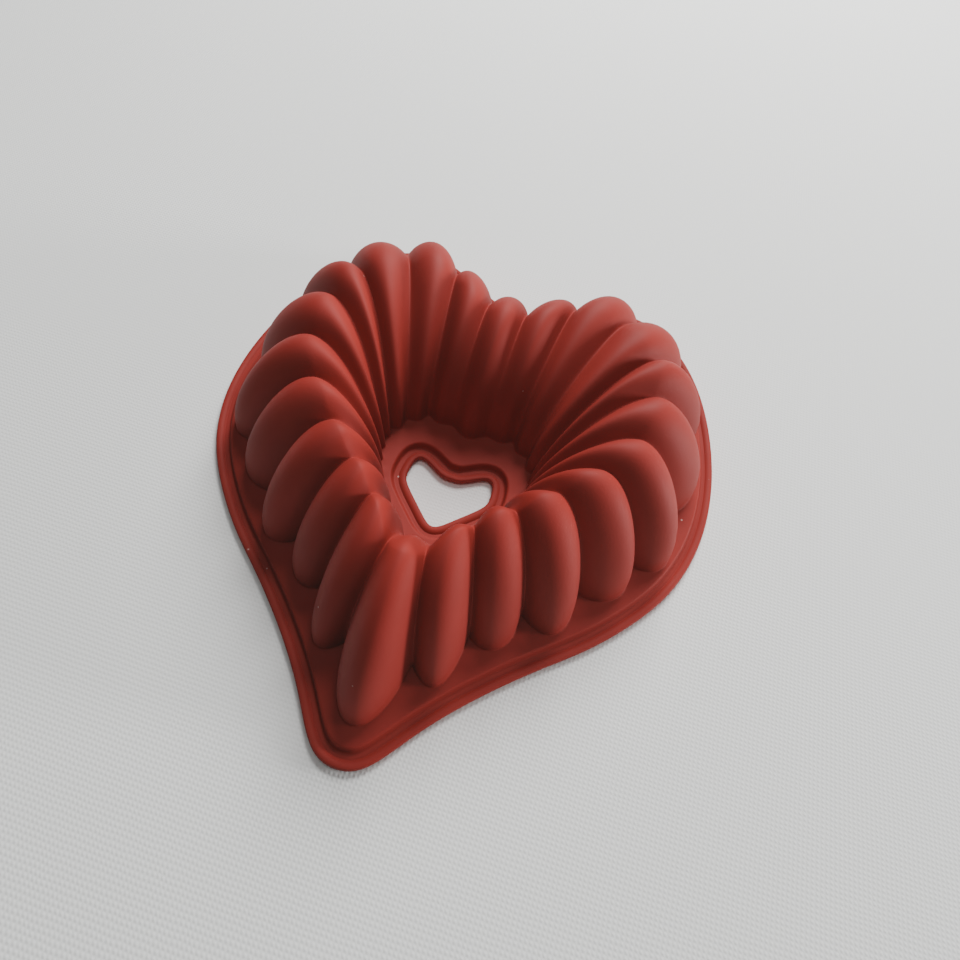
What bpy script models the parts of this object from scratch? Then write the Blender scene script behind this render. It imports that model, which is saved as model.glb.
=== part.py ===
"""Heart-shaped fluted silicone bundt pan, standing mouth down on its rim.

The real pan is one silicone moulding.  It is drawn here as the six regions of that moulding, each a
closed solid of its own with a hairline between neighbours, so that every wall keeps its own collision:
a bead round each free edge, a flange beside each bead, and the outer and inner walls of the flutes.

Frame: metres, +Z up, the table at z = 0, the heart's tip toward -Y and its notch toward +Y.
"""
import math

import bpy
import numpy as np

for leftover in list(bpy.data.objects):
    bpy.data.objects.remove(leftover, do_unlink=True)

MM = 0.001

# ---- driving dimensions, in millimetres ----
FLUTES = 22            # one at the tip, one in the notch, ten along each side
HEIGHT = 49.5          # table to the top of a flute
CREASE_DROP = 7.0      # how far the creases between the flutes sit below the flute tops
CREASE_OUT = 10.5      # depth of those creases at the flutes' outer feet
CREASE_TIP = 5.5       # extra depth beside the long flute at the heart's tip
CREASE_NOTCH = -3.5    # and beside the flute in the notch
CREASE_IN = 2.6        # depth of the creases at the flutes' inner feet
OUTER_PULL = (0.42, 0.42)   # fullness of the outer wall above its feet and at its shoulder
INNER_PULL = (0.55, 0.40)   # the same for the inner wall; 0.55 twice would be nearly an ellipse
FLUTE_ROUND = 0.48     # below 1 gives round flutes with narrow creases between them
FOOT_SOFT = 0.12       # how rounded the bottom of a crease is at the outer feet
CREST_SOFT = 0.10      # the same along the crest
TUBE_SOFT = 0.80       # and down the inner wall, where the flutes fade to soft waves
WALL = 2.0             # silicone thickness
LEDGE = 5.0            # top of the flat ledge that the flutes stand on
BAND = WALL            # top of the thin band outside the ledge, which lies on the table
BEAD = 1.75            # radius of the round bead along each free edge
BAND_END = 5.2         # free edge to the foot of the step up to the ledge
LEDGE_START = 8.0      # free edge to the top of that step
GAP = 0.3              # hairline between neighbouring regions
SEAM_STRIP = 1.2       # half width of the level strip along the crest, where the two walls meet
UNDER_TUBE = 3.0       # how far the ledge round the tube is drawn past the tube's foot before it is cut

COLUMNS = 5            # mesh columns across one flute
OUTER_ROWS = 7         # mesh rows up the outer wall
INNER_ROWS = 6         # mesh rows down the inner wall

# Right half of each outline in flute steps round the pan: 0 is the tip flute, 11 the notch flute.
# The left half is its mirror image.  Each entry is (flute step, x, y).
FOOT = [(0, 0, -115.8), (0.3, 10.2, -111), (0.5, 15.8, -104), (1, 25, -93), (2, 42, -73),
        (3, 61.8, -60), (4, 81.7, -37.6), (5, 99.2, -15.7), (6, 106.2, 26), (7, 102.3, 62),
        (8, 85.2, 98), (9, 52, 114.2), (10, 20.9, 98.4), (11, 0, 91.4)]
CREST = [(0, 0, -66.5), (1, 13.7, -53.9), (2, 25.8, -41.1), (3, 39.4, -29.1), (4, 53.3, -13.9),
         (5, 66.5, 3.7), (6, 71.3, 26), (7, 69.8, 48.3), (8, 59, 62), (9, 37.9, 71.4), (10, 17.5, 60.4),
         (11, 0, 53.6)]
TUBE = [(0, 0, -49), (2, 21.5, -31.5), (4, 31.5, -17), (6, 35.5, -4), (8, 32.5, 9.5), (9, 25.4, 17.2),
        (10, 15, 20), (11, 0, 16.8)]
RIM = [(0, 0, -130.2), (0.5, 11, -125.8), (1, 23.3, -110.7), (2, 53.9, -79.6), (3, 76.1, -60.7),
       (4, 96.3, -38.2), (5, 109.6, -13.5), (6, 115.6, 17.9), (7, 112, 58.5), (8, 94.3, 102.5),
       (9, 61, 126.4), (10, 27.7, 114.8), (11, 0, 102.9)]
HOLE = [(0, 0, -32.3), (2, 7.6, -26.7), (4, 17, -16.9), (6, 19.2, -9.6), (8, 15.5, -2.2),
        (9.5, 6.4, -6.7), (11, 0, -8.1)]


def closed_curve(points):
    """Smooth closed curve through the points and their mirror images, as a function of flute step."""
    knots = sorted([(s, x, y) for s, x, y in points]
                   + [(FLUTES - s, -x, y) for s, x, y in points if 0 < s < FLUTES / 2])
    at = np.array([k[0] for k in knots], float)
    pos = np.array([k[1:] for k in knots], float)
    n = len(at)
    span = np.diff(np.append(at, at[0] + FLUTES))
    rise = (np.roll(pos, -1, axis=0) - pos) / span[:, None]
    rows = np.zeros((n, n))
    sums = np.zeros((n, 2))
    for i in range(n):                                 # equal curvature on both sides of every point
        before, after = span[i - 1], span[i]
        rows[i, i] = 2 * (before + after)
        rows[i, i - 1] += after
        rows[i, (i + 1) % n] += before
        sums[i] = 3 * (after * rise[i - 1] + before * rise[i])
    slope = np.linalg.solve(rows, sums)

    def curve(step):
        step = np.mod(np.asarray(step, float), FLUTES)
        i = np.clip(np.searchsorted(at, step, side="right") - 1, 0, n - 1)
        j = (i + 1) % n
        h = span[i][..., None]
        t = (step - at[i])[..., None] / h
        return ((1 + 2 * t) * (1 - t) ** 2 * pos[i] + t * (1 - t) ** 2 * h * slope[i]
                + t * t * (3 - 2 * t) * pos[j] + t * t * (t - 1) * h * slope[j])

    return curve


foot_line, crest_line, tube_line, rim_line, hole_line = map(closed_curve, (FOOT, CREST, TUBE, RIM, HOLE))


def outward(curve, step, reach=0.02):
    """Unit vector pointing away from the heart's middle, square to the curve."""
    along = unit(curve(step + reach) - curve(step - reach))
    return np.stack([along[..., 1], -along[..., 0]], axis=-1)


def bulge(step, soft):
    """1 along the top of a flute, 0 in the crease between two."""
    low, high = soft ** FLUTE_ROUND, (1 + soft ** 2) ** (FLUTE_ROUND / 2)
    wave = (np.cos(math.pi * step) ** 2 + soft ** 2) ** (FLUTE_ROUND / 2)
    return ((wave - low) / (high - low))[:, None]


def crest_height(step, soft=CREST_SOFT):
    return HEIGHT - (1 - bulge(step, soft)) * CREASE_DROP


def unit(vectors):
    return vectors / np.linalg.norm(vectors, axis=-1, keepdims=True)


def outer_feet(step):
    from_tip = np.minimum(step % FLUTES, -step % FLUTES)
    by_tip = np.exp(-(from_tip / 0.8) ** 2)[:, None]
    by_notch = np.exp(-((FLUTES / 2 - from_tip) / 0.8) ** 2)[:, None]
    depth = CREASE_OUT + CREASE_TIP * by_tip + CREASE_NOTCH * by_notch
    foot = foot_line(step)
    return foot + (1 - bulge(step, FOOT_SOFT)) * depth * unit(crest_line(step) - foot)


def inner_feet(step):
    return tube_line(step) - bulge(step, TUBE_SOFT) * CREASE_IN * outward(tube_line, step)


def wall_row(step, side, t):
    """One row of points on the flutes, from 0 at the feet to 1 at the crest.  The wall is a cubic arc
    that leaves the feet upright and runs level across the crest without a kink in plan."""
    feet = outer_feet(step) if side > 0 else inner_feet(step)
    rise, reach = OUTER_PULL if side > 0 else INNER_PULL
    shoulder_soft = CREST_SOFT if side > 0 else TUBE_SOFT
    crest = crest_line(step)
    across = unit(unit(foot_line(step) - crest) + unit(crest - tube_line(step)))
    shoulder = crest + side * reach * np.linalg.norm(feet - crest, axis=1, keepdims=True) * across
    foot_share, above, beside, top = (1 - t) ** 3, 3 * t * (1 - t) ** 2, 3 * t ** 2 * (1 - t), t ** 3
    plan = (foot_share + above) * feet + beside * shoulder + top * crest
    climb = (above * rise + beside) * (crest_height(step, shoulder_soft) - LEDGE)
    return np.concatenate([plan, LEDGE + climb + top * (crest_height(step) - LEDGE)], axis=1)


def level(points, z):
    return np.concatenate([points, np.full((len(points), 1), float(z))], axis=1)


def offset_outline(points, distance):
    """A closed plan outline pushed outward (inward if negative)."""
    along = unit(np.roll(points, -1, axis=0) - np.roll(points, 1, axis=0))
    return points + distance * np.stack([along[:, 1], -along[:, 0]], axis=1)


steps = 0.5 + np.arange(FLUTES * COLUMNS) / COLUMNS    # every crease is a column
whole_rim = rim_line(np.linspace(0, FLUTES, 881))
MIDDLE = np.array([0, (whole_rim[:, 1].min() + whole_rim[:, 1].max()) / 2, 0])

pan = bpy.data.collections.new("heart_bundt_pan")
cutters = bpy.data.collections.new("cutters")
for collection in (pan, cutters):
    bpy.context.scene.collection.children.link(collection)


def silicone(name, colour, roughness):
    mat = bpy.data.materials.new(name)
    mat.use_nodes = True
    shader = mat.node_tree.nodes["Principled BSDF"]
    shader.inputs["Base Color"].default_value = (*colour, 1)
    shader.inputs["Roughness"].default_value = roughness
    shader.inputs["Metallic"].default_value = 0
    return mat


rim_silicone = silicone("rim_silicone", (0.40, 0.075, 0.055), 0.50)
flute_silicone = silicone("flute_silicone", (0.42, 0.08, 0.058), 0.48)


def new_object(name, mesh, mat, collection):
    mesh.materials.append(mat)
    obj = bpy.data.objects.new(name, mesh)
    collection.objects.link(obj)
    return obj


def shell(name, loops, mat, even):
    """A skin lofted through closed loops of points, thickened downward and inward to WALL;
    even keeps that thickness true where the skin turns."""
    grid = (np.stack(loops, axis=1) - MIDDLE) * MM
    around, across = grid.shape[:2]
    faces = []
    for i in range(around):
        here, there = i * across, (i + 1) % around * across
        faces += [(here + k, there + k, there + k + 1, here + k + 1) for k in range(across - 1)]
    mesh = bpy.data.meshes.new(name)
    mesh.from_pydata(grid.reshape(-1, 3).tolist(), [], faces)
    if sum(face.normal.z for face in mesh.polygons) < 0:
        mesh.flip_normals()
    mesh.shade_smooth()
    obj = new_object(name, mesh, mat, pan)
    thick = obj.modifiers.new("wall", "SOLIDIFY")
    thick.thickness = WALL * MM
    thick.offset = -1
    thick.use_even_offset = even
    return obj


def prism(name, outline, mat):
    """An upright block with the given plan outline, taller than the pan: a cutter."""
    count = len(outline)
    points = np.concatenate([level(outline, -HEIGHT), level(outline, 2 * HEIGHT)]) - MIDDLE
    sides = [(i, (i + 1) % count, count + (i + 1) % count, count + i) for i in range(count)]
    mesh = bpy.data.meshes.new(name)
    ends = [tuple(reversed(range(count))), tuple(range(count, 2 * count))]
    mesh.from_pydata((points * MM).tolist(), [], ends + sides)
    obj = new_object(name, mesh, mat, cutters)
    obj.hide_render = True
    obj.display_type = "WIRE"
    return obj


def flutes(name, side, rows):
    """The flutes' outer wall (side +1) or inner wall (side -1), from ledge to crest."""
    feet = outer_feet(steps) if side > 0 else inner_feet(steps)
    loops = [level(feet, LEDGE - WALL)]
    loops += [wall_row(steps, side, t) for t in np.linspace(0, 1, rows)[:-1]]
    for distance in (SEAM_STRIP, GAP / 2):
        plan = crest_line(steps) + side * distance * outward(crest_line, steps)
        loops.append(np.concatenate([plan, crest_height(steps)], axis=1))
    return shell(name, loops, flute_silicone, even=False)


def flange(name, edge, side, feet, under_flutes):
    """Band, step and ledge beside a free edge.  The ledge is drawn on to a line under the flutes and
    then cut along their feet."""
    def loop(distance, z):
        return level(edge(steps) - side * distance * outward(edge, steps), z)

    rise = (LEDGE - BAND) / 2
    middle = (BAND_END + LEDGE_START) / 2
    loops = [loop(2 * BEAD + GAP, BAND), loop(BAND_END, BAND), loop(middle, BAND + rise),
             loop(LEDGE_START, LEDGE), level(under_flutes, LEDGE)]
    obj = shell(name, loops, rim_silicone, even=True)
    cut = obj.modifiers.new("feet", "BOOLEAN")
    cut.operation = "DIFFERENCE" if side > 0 else "INTERSECT"
    cut.object = prism(name + "_cutter", offset_outline(feet, side * GAP), rim_silicone)
    return obj


def bead(name, edge, side):
    """Round bead along a free edge."""
    route = level(edge(steps) - side * BEAD * outward(edge, steps), BEAD) - MIDDLE
    line = bpy.data.curves.new(name, "CURVE")
    line.dimensions = "3D"
    line.bevel_depth = BEAD * MM
    line.bevel_resolution = 2
    spline = line.splines.new("POLY")
    spline.points.add(len(route) - 1)
    for point, place in zip(spline.points, route):
        point.co = (*(place * MM), 1)
    spline.use_cyclic_u = True
    line.materials.append(rim_silicone)
    obj = bpy.data.objects.new(name, line)
    pan.objects.link(obj)
    return obj


bead("rim_roll", rim_line, +1)
flange("rim_flange", rim_line, +1, outer_feet(steps), (foot_line(steps) + crest_line(steps)) / 2)
flutes("outer_flutes", +1, OUTER_ROWS)
flutes("inner_flutes", -1, INNER_ROWS)
flange("tube_flange", hole_line, -1, inner_feet(steps),
       tube_line(steps) + UNDER_TUBE * outward(tube_line, steps))
bead("tube_roll", hole_line, -1)
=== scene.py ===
import math

import bpy
import numpy as np
from mathutils import Matrix, Vector
from mathutils.geometry import delaunay_2d_cdt


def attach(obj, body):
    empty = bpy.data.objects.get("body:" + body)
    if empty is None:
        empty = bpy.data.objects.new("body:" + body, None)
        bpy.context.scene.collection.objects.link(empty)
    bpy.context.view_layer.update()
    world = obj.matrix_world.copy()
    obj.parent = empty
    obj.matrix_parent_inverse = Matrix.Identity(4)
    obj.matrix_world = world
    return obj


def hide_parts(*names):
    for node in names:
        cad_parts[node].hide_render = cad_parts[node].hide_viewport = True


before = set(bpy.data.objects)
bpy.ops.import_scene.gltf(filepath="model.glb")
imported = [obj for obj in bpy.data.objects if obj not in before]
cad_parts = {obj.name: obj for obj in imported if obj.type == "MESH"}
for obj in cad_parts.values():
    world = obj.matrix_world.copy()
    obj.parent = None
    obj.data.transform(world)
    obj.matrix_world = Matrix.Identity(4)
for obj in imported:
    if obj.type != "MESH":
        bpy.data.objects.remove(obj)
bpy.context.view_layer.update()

MM = 0.001

# ---- the pan, in millimetres: the same outlines as the CAD's, sampled finely ----
FLUTES = 22            # one at the tip, one in the notch, ten along each side
HEIGHT = 49.5          # table to the top of a flute
CREASE_DROP = 7.0      # how far the creases between the flutes sit below the flute tops
CREASE_OUT = 10.5      # depth of those creases at the flutes' outer feet
CREASE_TIP = 5.5       # extra depth beside the long flute at the heart's tip
CREASE_NOTCH = -3.5    # and beside the flute in the notch
CREASE_IN = 2.6        # depth of the creases at the flutes' inner feet
CREASE_REACH = 0.8     # how many flutes away the tip and the notch are still felt
OUTER_PULL = (0.42, 0.42)   # fullness of the outer wall above its feet and at its shoulder
INNER_PULL = (0.55, 0.40)   # the same for the inner wall
FLUTE_ROUND = 0.48     # below 1 gives round flutes with narrow creases between them
FOOT_SOFT = 0.12       # how rounded the bottom of a crease is at the outer feet
CREST_SOFT = 0.10      # the same along the crest
TUBE_SOFT = 0.80       # and down the inner wall, where the flutes fade to soft waves
WALL = 2.0             # silicone thickness
LEDGE = 5.0            # top of the flat ledge that the flutes stand on
BEAD = 1.75            # radius of the round bead along each free edge
FILLET = 0.8           # rounding where the flutes meet the ledge

COLUMNS = 24           # mesh columns across one flute
WALL_ROWS = 30         # mesh rows from feet to crest, each side
WALL_START = 0.02      # where the lowest of those rows lies, between feet (0) and crest (1)
EVEN_ROUND = 24        # passes that even out the lining's direction round the pan,
EVEN_UP = 4            # and up it, so that it doesn't fold where the skin turns sharply

# (flute step, x, y) of the right half; 0 is the tip flute, 11 the notch flute
FOOT = [(0, 0, -115.8), (0.3, 10.2, -111), (0.5, 15.8, -104), (1, 25, -93), (2, 42, -73),
        (3, 61.8, -60), (4, 81.7, -37.6), (5, 99.2, -15.7), (6, 106.2, 26), (7, 102.3, 62),
        (8, 85.2, 98), (9, 52, 114.2), (10, 20.9, 98.4), (11, 0, 91.4)]
CREST = [(0, 0, -66.5), (1, 13.7, -53.9), (2, 25.8, -41.1), (3, 39.4, -29.1), (4, 53.3, -13.9),
         (5, 66.5, 3.7), (6, 71.3, 26), (7, 69.8, 48.3), (8, 59, 62), (9, 37.9, 71.4), (10, 17.5, 60.4),
         (11, 0, 53.6)]
TUBE = [(0, 0, -49), (2, 21.5, -31.5), (4, 31.5, -17), (6, 35.5, -4), (8, 32.5, 9.5), (9, 25.4, 17.2),
        (10, 15, 20), (11, 0, 16.8)]
RIM = [(0, 0, -130.2), (0.5, 11, -125.8), (1, 23.3, -110.7), (2, 53.9, -79.6), (3, 76.1, -60.7),
       (4, 96.3, -38.2), (5, 109.6, -13.5), (6, 115.6, 17.9), (7, 112, 58.5), (8, 94.3, 102.5),
       (9, 61, 126.4), (10, 27.7, 114.8), (11, 0, 102.9)]
HOLE = [(0, 0, -32.3), (2, 7.6, -26.7), (4, 17, -16.9), (6, 19.2, -9.6), (8, 15.5, -2.2),
        (9.5, 6.4, -6.7), (11, 0, -8.1)]


def closed_curve(points):
    """Smooth closed curve through the points and their mirror images, as a function of flute step."""
    knots = sorted([(s, x, y) for s, x, y in points]
                   + [(FLUTES - s, -x, y) for s, x, y in points if 0 < s < FLUTES / 2])
    at = np.array([k[0] for k in knots], float)
    pos = np.array([k[1:] for k in knots], float)
    n = len(at)
    span = np.diff(np.append(at, at[0] + FLUTES))
    rise = (np.roll(pos, -1, axis=0) - pos) / span[:, None]
    rows = np.zeros((n, n))
    sums = np.zeros((n, 2))
    for i in range(n):                                 # equal curvature on both sides of every point
        before, after = span[i - 1], span[i]
        rows[i, i] = 2 * (before + after)
        rows[i, i - 1] += after
        rows[i, (i + 1) % n] += before
        sums[i] = 3 * (after * rise[i - 1] + before * rise[i])
    slope = np.linalg.solve(rows, sums)

    def curve(step):
        step = np.mod(np.asarray(step, float), FLUTES)
        i = np.clip(np.searchsorted(at, step, side="right") - 1, 0, n - 1)
        j = (i + 1) % n
        h = span[i][..., None]
        t = (step - at[i])[..., None] / h
        return ((1 + 2 * t) * (1 - t) ** 2 * pos[i] + t * (1 - t) ** 2 * h * slope[i]
                + t * t * (3 - 2 * t) * pos[j] + t * t * (t - 1) * h * slope[j])

    return curve


foot_line, crest_line, tube_line, rim_line, hole_line = map(closed_curve, (FOOT, CREST, TUBE, RIM, HOLE))


def unit(vectors):
    return vectors / np.linalg.norm(vectors, axis=-1, keepdims=True)


def outward(curve, step, reach=0.02):
    """Unit vector pointing away from the heart's middle, square to the curve."""
    along = unit(curve(step + reach) - curve(step - reach))
    return np.stack([along[..., 1], -along[..., 0]], axis=-1)


def bulge(step, soft):
    """1 along the top of a flute, 0 in the crease between two; soft rounds the bottom of the crease."""
    low, high = soft ** FLUTE_ROUND, (1 + soft ** 2) ** (FLUTE_ROUND / 2)
    wave = (np.cos(math.pi * step) ** 2 + soft ** 2) ** (FLUTE_ROUND / 2)
    return ((wave - low) / (high - low))[:, None]


def crest_height(step, soft=CREST_SOFT):
    return HEIGHT - (1 - bulge(step, soft)) * CREASE_DROP


def toward_crest(points, step):
    return unit(crest_line(step) - points)


def outer_feet(step):
    from_tip = np.minimum(step % FLUTES, -step % FLUTES)
    by_tip = np.exp(-(from_tip / CREASE_REACH) ** 2)[:, None]
    by_notch = np.exp(-((FLUTES / 2 - from_tip) / CREASE_REACH) ** 2)[:, None]
    depth = CREASE_OUT + CREASE_TIP * by_tip + CREASE_NOTCH * by_notch
    foot = foot_line(step)
    return foot + (1 - bulge(step, FOOT_SOFT)) * depth * toward_crest(foot, step)


def inner_feet(step):
    return tube_line(step) - bulge(step, TUBE_SOFT) * CREASE_IN * outward(tube_line, step)


def wall_row(step, side, t):
    """One row of points on the flutes, from 0 at the feet to 1 at the crest, on the outer wall (+1) or
    the inner wall (-1).  The wall is a cubic arc that leaves the feet upright."""
    feet = outer_feet(step) if side > 0 else inner_feet(step)
    rise, reach = OUTER_PULL if side > 0 else INNER_PULL
    shoulder_soft = CREST_SOFT if side > 0 else TUBE_SOFT
    crest = crest_line(step)
    across = unit(unit(foot_line(step) - crest) + unit(crest - tube_line(step)))
    shoulder = crest + side * reach * np.linalg.norm(feet - crest, axis=1, keepdims=True) * across
    foot_share, above, beside, top = (1 - t) ** 3, 3 * t * (1 - t) ** 2, 3 * t ** 2 * (1 - t), t ** 3
    plan = (foot_share + above) * feet + beside * shoulder + top * crest
    climb = (above * rise + beside) * (crest_height(step, shoulder_soft) - LEDGE)
    return np.concatenate([plan, LEDGE + climb + top * (crest_height(step) - LEDGE)], axis=1)


def level(points, z):
    return np.concatenate([points, np.full((len(points), 1), float(z))], axis=1)


whole_rim = rim_line(np.linspace(0, FLUTES, 881))
MIDDLE = np.array([0, (whole_rim[:, 1].min() + whole_rim[:, 1].max()) / 2, 0])     # of the rim, in plan

# columns gather toward the creases, where the surface turns fastest
across_flute = np.arange(COLUMNS) * 2 / COLUMNS - 1
steps = (np.arange(FLUTES)[:, None] + 0.5 * np.sin(math.pi / 2 * across_flute)).ravel()

# The edge of the pan in section, as (distance in from the free edge, height): the bead from under its
# outer side over its top, a groove, the thin band, and the step up to the ledge.
BEAD_ARC = [(BEAD * (1 - math.cos(angle)), BEAD * (1 + math.sin(angle)))
            for angle in np.radians(np.arange(-100, 58, 14))]
GROOVE_AND_BAND = [(3.25, 2.45), (3.42, 2.0), (3.6, 1.92), (3.85, 2.0), (4.3, 2.02), (4.9, 2.0), (5.35, 2.04)]
STEP_UP = [(5.7, 2.22), (5.95, 2.65), (6.15, 3.25), (6.35, 3.85), (6.6, 4.4), (6.9, 4.78), (7.3, 4.96),
           (7.7, LEDGE)]
EDGE = BEAD_ARC + GROOVE_AND_BAND + STEP_UP
# the underside of the band, the step and the ledge
LINING_EDGE = [(3.6, 0), (5, 0), (6.6, 0), (7.3, 0.3), (7.8, 1.2), (8.1, 2.2), (8.5, 2.8),
               (9.1, LEDGE - WALL)]
FILLET_ARC = ((1, 0), (0.45, 0.1), (0.15, 0.35))     # (reach, rise) as shares of FILLET


def edge_rows(curve, side, section):
    """The section swept along a free edge, the rim (+1) or the tube's mouth (-1)."""
    normal = outward(curve, steps)
    return np.stack([level(curve(steps) - side * d * normal, z) for d, z in section], axis=1)


def wall_rows(side):
    """Rows of points from the ledge through the rounding at the feet up to the crest."""
    feet = outer_feet(steps) if side > 0 else inner_feet(steps)
    away = -toward_crest(feet, steps) if side > 0 else -outward(tube_line, steps)
    rows = [level(feet + FILLET * reach * away, LEDGE + FILLET * rise) for reach, rise in FILLET_ARC]
    return rows + [wall_row(steps, side, t) for t in np.linspace(WALL_START, 1, WALL_ROWS)]


def lining_of(flutes):
    """The walls of the flutes moved in by the wall thickness, down to the underside of the ledge."""
    walls = flutes[:, len(FILLET_ARC):-len(FILLET_ARC)]
    round_way = np.roll(walls, -1, axis=0) - np.roll(walls, 1, axis=0)
    normal = unit(np.cross(round_way, np.gradient(walls, axis=1)))
    for _ in range(EVEN_ROUND):
        normal = (np.roll(normal, 1, axis=0) + 2 * normal + np.roll(normal, -1, axis=0)) / 4
    for _ in range(EVEN_UP):
        normal[:, 1:-1] = (normal[:, :-2] + 2 * normal[:, 1:-1] + normal[:, 2:]) / 4
    walls = walls - WALL * normal
    ends = [level(walls[:, k, :2], LEDGE - WALL)[:, None] for k in (0, -1)]
    return np.concatenate([ends[0], walls, ends[1]], axis=1)


def ledge_faces(outline, hole):
    """Triangles that fill the flat ring between two closed loops, counter-clockwise from above.
    The points of the hole are counted on from those of the outline."""
    count = len(outline)
    points = [Vector(point) for point in np.concatenate([outline, hole]).tolist()]
    rings = [list(range(count)), list(range(count, 2 * count))]
    _, _, faces, sources, _, owners = delaunay_2d_cdt(points, [], rings, 1, 1e-6)
    return [[sources[v][0] for v in face] for face, owner in zip(faces, owners) if owner == [0]]


def pan_mesh():
    """One closed skin of lofted strips: rim, flutes and tube mouth, then back underneath as the lining
    of the same three, with a flat ledge filled in between two strips."""
    flutes = np.stack(wall_rows(+1) + wall_rows(-1)[-2::-1], axis=1)
    strips = [edge_rows(rim_line, +1, EDGE), flutes, edge_rows(hole_line, -1, EDGE[::-1]),
              edge_rows(hole_line, -1, LINING_EDGE), lining_of(flutes)[:, ::-1],
              edge_rows(rim_line, +1, LINING_EDGE[::-1])]
    last_rows = np.cumsum([strip.shape[1] for strip in strips]) - 1
    grid = np.concatenate(strips, axis=1)
    around, section = grid.shape[:2]
    index = np.arange(around * section).reshape(around, section)
    east = np.roll(index, -1, axis=0)
    quads = np.stack([index, east, np.roll(east, -1, axis=1), np.roll(index, -1, axis=1)], axis=-1)
    ledges = last_rows[[0, 1, 3, 4]]
    faces = np.delete(quads, ledges, axis=1).reshape(-1, 4).tolist()
    for row, top in zip(ledges, (True, True, False, False)):
        wide, narrow = (row, row + 1) if top else (row + 1, row)
        ids = np.concatenate([index[:, wide], index[:, narrow]])
        for face in ledge_faces(grid[:, wide, :2], grid[:, narrow, :2]):
            faces.append(ids[face if top else face[::-1]].tolist())
    mesh = bpy.data.meshes.new("pan")
    mesh.from_pydata(((grid - MIDDLE) * MM).reshape(-1, 3).tolist(), [], faces)
    mesh.shade_smooth()
    return mesh


# ---- materials ----
class Surface:
    """A Principled material whose patterns are laid out in the object's own space."""

    def __init__(self, name, roughness, specular):
        self.material = bpy.data.materials.new(name)
        self.material.use_nodes = True
        tree = self.material.node_tree
        self.new, self.link = tree.nodes.new, tree.links.new
        self.shader = tree.nodes["Principled BSDF"]
        self.set(self.shader, {"Roughness": roughness, "Specular IOR Level": specular})
        self.where = self.new("ShaderNodeTexCoord").outputs["Object"]

    def set(self, node, values):
        for socket, value in values.items():
            node.inputs[socket].default_value = value

    def texture(self, kind, values):
        node = self.new("ShaderNodeTex" + kind)
        self.set(node, values)
        self.link(self.where, node.inputs["Vector"])
        return node

    def noise(self, scale, detail):
        return self.texture("Noise", {"Scale": scale, "Detail": detail}).outputs["Fac"]

    def ramp(self, value, stops):
        """Colours at the given values, blended in between."""
        node = self.new("ShaderNodeValToRGB")
        self.link(value, node.inputs["Fac"])
        for stop, (at, colour) in zip(node.color_ramp.elements, stops):
            stop.position = at
            stop.color = (*colour, 1)
        return node.outputs["Color"]

    def product(self, one, other):
        node = self.new("ShaderNodeMath")
        node.operation = "MULTIPLY"
        self.link(one, node.inputs[0])
        self.link(other, node.inputs[1])
        return node.outputs["Value"]

    def bump(self, height, strength):
        node = self.new("ShaderNodeBump")
        self.set(node, {"Strength": strength, "Distance": BUMP_DEPTH})
        self.link(height, node.inputs["Height"])
        self.link(node.outputs["Normal"], self.shader.inputs["Normal"])


BUMP_DEPTH = 0.4 * MM
BLACK, WHITE, FAINT = (0, 0, 0), (1, 1, 1), (0.55, 0.55, 0.55)


def silicone():
    """Matte brick-red silicone, a little uneven in colour and polish, with a few pale specks of dust."""
    made = Surface("silicone", roughness=0.5, specular=0.17)
    made.set(made.shader, {"Emission Color": (0.25, 0.7, 0.6, 1), "Emission Strength": 0.012})   # painted sheen: a faint grey-green glow that lifts the shaded parts, standing in for light reflected off the silicone
    colour = made.ramp(made.noise(28, 3), [(0.3, (0.245, 0.017, 0.012)), (0.75, (0.285, 0.022, 0.016))])

    cells = made.texture("Voronoi", {"Scale": 95})
    centre = made.ramp(cells.outputs["Distance"], [(0.03, WHITE), (0.05, BLACK)])
    draw = made.new("ShaderNodeSeparateColor")
    made.link(cells.outputs["Color"], draw.inputs["Color"])
    chosen = made.ramp(draw.outputs["Red"], [(0.72, BLACK), (0.74, FAINT)])
    mix = made.new("ShaderNodeMix")
    mix.data_type = "RGBA"
    made.link(made.product(centre, chosen), mix.inputs["Factor"])
    made.link(colour, mix.inputs["A"])
    made.set(mix, {"B": (0.75, 0.55, 0.5, 1)})
    made.link(mix.outputs["Result"], made.shader.inputs["Base Color"])

    polish = made.new("ShaderNodeMapRange")
    made.set(polish, {"To Min": 0.58, "To Max": 0.70})
    made.link(made.noise(60, 4), polish.inputs["Value"])
    made.link(polish.outputs["Result"], made.shader.inputs["Roughness"])
    made.bump(made.noise(900, 3), strength=0.08)
    return made.material


def cloth():
    """White cloth with a fine weave: two sets of threads that cross."""
    made = Surface("table_cloth", roughness=0.9, specular=0.2)
    made.set(made.shader, {"Base Color": (0.84, 0.845, 0.825, 1)})
    threads = []
    for direction in ("X", "Y"):
        wave = made.texture("Wave", {"Scale": 190, "Distortion": 1.2, "Detail": 1})
        wave.bands_direction = direction
        threads.append(wave.outputs["Fac"])
    made.bump(made.product(*threads), strength=0.25)
    return made.material


# ---- the pan ----
pan = bpy.data.objects.new("heart_pan", pan_mesh())
bpy.context.scene.collection.objects.link(pan)
pan.data.materials.append(silicone())
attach(pan, "root")
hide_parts("rim_roll", "rim_flange", "outer_flutes", "inner_flutes", "tube_flange", "tube_roll")

# ---- floor, light and camera, in metres ----
FLOOR_HALF = 1.5
FLOOR_DROP = 0.3 * MM  # keeps the cloth clear of the pan's underside
STAND_OFF = 1.5        # from each softbox to the pan

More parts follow.
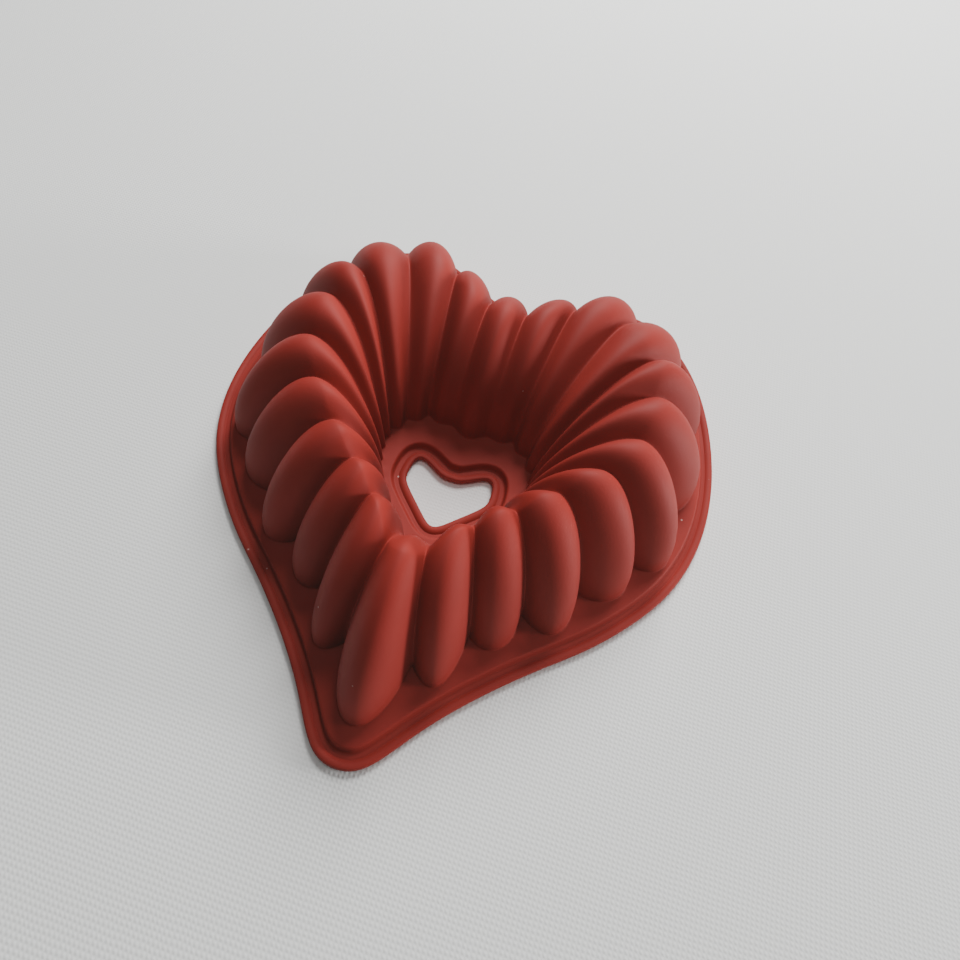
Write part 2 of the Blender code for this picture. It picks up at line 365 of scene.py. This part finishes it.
floor_mesh = bpy.data.meshes.new("floor")
corners = [(-1, -1), (1, -1), (1, 1), (-1, 1)]
floor_mesh.from_pydata([(FLOOR_HALF * x, FLOOR_HALF * y, 0) for x, y in corners], [], [(0, 1, 2, 3)])
floor = bpy.data.objects.new("floor", floor_mesh)
bpy.context.scene.collection.objects.link(floor)
floor.location.z = -FLOOR_DROP
floor_mesh.materials.append(cloth())


def softbox(name, azimuth, elevation, size, irradiance):
    """A round softbox aimed at the pan; azimuth 0 is on the pan's right (+X), 90 beyond its notch.
    The irradiance is what it gives on a surface at the pan that faces it, in W/m2."""
    lamp = bpy.data.lights.new(name, "AREA")
    lamp.shape = "DISK"
    lamp.size = size
    lamp.energy = irradiance * math.pi * STAND_OFF ** 2
    obj = bpy.data.objects.new(name, lamp)
    bpy.context.scene.collection.objects.link(obj)
    around, up = math.radians(azimuth), math.radians(elevation)
    way = Vector((math.cos(around) * math.cos(up), math.sin(around) * math.cos(up), math.sin(up)))
    obj.location = way * STAND_OFF
    obj.rotation_euler = (-way).to_track_quat("-Z", "Y").to_euler()


softbox("key", 86, 41, 0.9, 5.8)
softbox("side", 12, 9, 0.4, 2.8)
softbox("top", 0, 90, 0.9, 0.6)
softbox("front", 315, 15, 0.6, 0.2)

world = bpy.data.worlds.new("studio")
bpy.context.scene.world = world
world.use_nodes = True
background = world.node_tree.nodes["Background"]
background.inputs["Color"].default_value = (0.95, 0.97, 1.0, 1)
background.inputs["Strength"].default_value = 0.04

ELEVATION = math.radians(59.57)            # how far the camera looks down on the table
AZIMUTH = math.radians(7.57)               # how far it is turned to the left of the pan's +Y axis
ROLL = math.radians(11.76)                 # how far it is tilted about its own line of sight
DISTANCE = 266.1 * MM
AIM = Vector((12.11, -1.94, 0)) * MM       # the point on the table in the middle of the view
LENS = 21.95                               # focal length in mm, on a 36 mm sensor


def camera():
    cam = bpy.data.cameras.new("camera")
    cam.sensor_width = 36
    cam.lens = LENS
    cam.clip_start = 0.01
    obj = bpy.data.objects.new("camera", cam)
    bpy.context.scene.collection.objects.link(obj)
    right = Vector((math.cos(AZIMUTH), math.sin(AZIMUTH), 0))
    ahead = Vector((-math.cos(ELEVATION) * math.sin(AZIMUTH),
                    math.cos(ELEVATION) * math.cos(AZIMUTH), -math.sin(ELEVATION)))
    up = right.cross(ahead)
    axis_x = right * math.cos(ROLL) + up * math.sin(ROLL)
    axis_y = up * math.cos(ROLL) - right * math.sin(ROLL)
    place = AIM - Vector(MIDDLE) * MM - ahead * DISTANCE
    turn = Matrix((axis_x, axis_y, -ahead)).transposed()
    obj.matrix_world = Matrix.Translation(place) @ turn.to_4x4()
    bpy.context.scene.camera = obj


camera()
